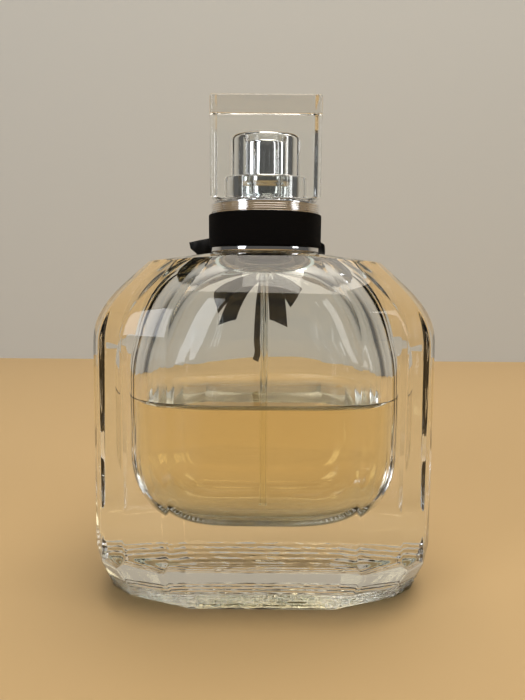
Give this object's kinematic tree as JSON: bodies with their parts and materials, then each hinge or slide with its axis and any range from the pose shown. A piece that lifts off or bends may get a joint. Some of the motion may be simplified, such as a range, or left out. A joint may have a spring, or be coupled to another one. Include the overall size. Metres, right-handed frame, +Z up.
{
  "type": "perfume bottle",
  "caption": "Wide faceted clear-glass spray bottle, part full, with a ribboned bright collar and a square clear pull-off cap.",
  "frame": {"origin": "centre of the flat base, where the bottle rests", "axes": "+Z up along the bottle and the pump; +X across the wide face; +Y towards the side with the bow"},
  "size_m": [0.0852, 0.0563, 0.1195],
  "materials": {
    "flint_glass": "polished",
    "perfume": "clear liquid",
    "gasket_foam": "matt",
    "ferrule_aluminium": "satin",
    "clear_polypropylene": "gloss",
    "white_polypropylene": "gloss",
    "black_rubber": "matt",
    "spring_steel": "bright",
    "chromed_aluminium": "mirror bright",
    "black_velvet": "pile",
    "black_satin": "woven",
    "clear_acrylic": "polished",
    "clear_liner": "gloss"
  },
  "bodies": {
    "bottle": {"glass_bottle": "flint_glass", "perfume": "perfume", "neck_gasket": "gasket_foam", "crimp_ferrule": "ferrule_aluminium", "pump_housing": "clear_polypropylene", "pump_closure": "white_polypropylene", "stem_gasket": "black_rubber", "return_spring": "spring_steel", "dip_tube": "clear_polypropylene", "collar_insert": "white_polypropylene", "collar_sleeve": "chromed_aluminium", "grip_ring": "chromed_aluminium", "velvet_band": "black_velvet", "bow_knot": "black_satin", "bow_loop_left": "black_satin", "bow_loop_right": "black_satin", "bow_drop_left": "black_satin", "bow_drop_right": "black_satin", "tail_left": "black_satin", "tail_right": "black_satin", "tail_long": "black_satin"},
    "pump_stroke": {"piston": "white_polypropylene", "stem": "white_polypropylene"},
    "spray_head": {"head_core": "white_polypropylene", "head_shell": "chromed_aluminium", "nozzle_insert": "white_polypropylene"},
    "inlet_valve": {"inlet_ball": "spring_steel"},
    "cap": {"cap_block": "clear_acrylic", "cap_liner": "clear_liner"}
  },
  "joints": [
    {"name": "spray_press", "type": "slide", "parent": "bottle", "child": "pump_stroke", "axis": [0, 0, -1], "range_m": [0, 0.0036], "stiffness_N_per_m": 1500, "springref_m": -0.002, "deforming": ["return_spring"]},
    {"name": "head_turn", "type": "hinge", "parent": "pump_stroke", "child": "spray_head", "pos_m": [0, 0, 0.103], "axis": [0, 0, 1], "continuous": true},
    {"name": "valve_lift", "type": "slide", "parent": "bottle", "child": "inlet_valve", "axis": [0, 0, 1], "range_m": [0, 0.0007]},
    {"name": "cap_pull", "type": "slide", "parent": "bottle", "child": "cap", "axis": [0, 0, 1], "range_m": [0, 0.03]}
  ]
}
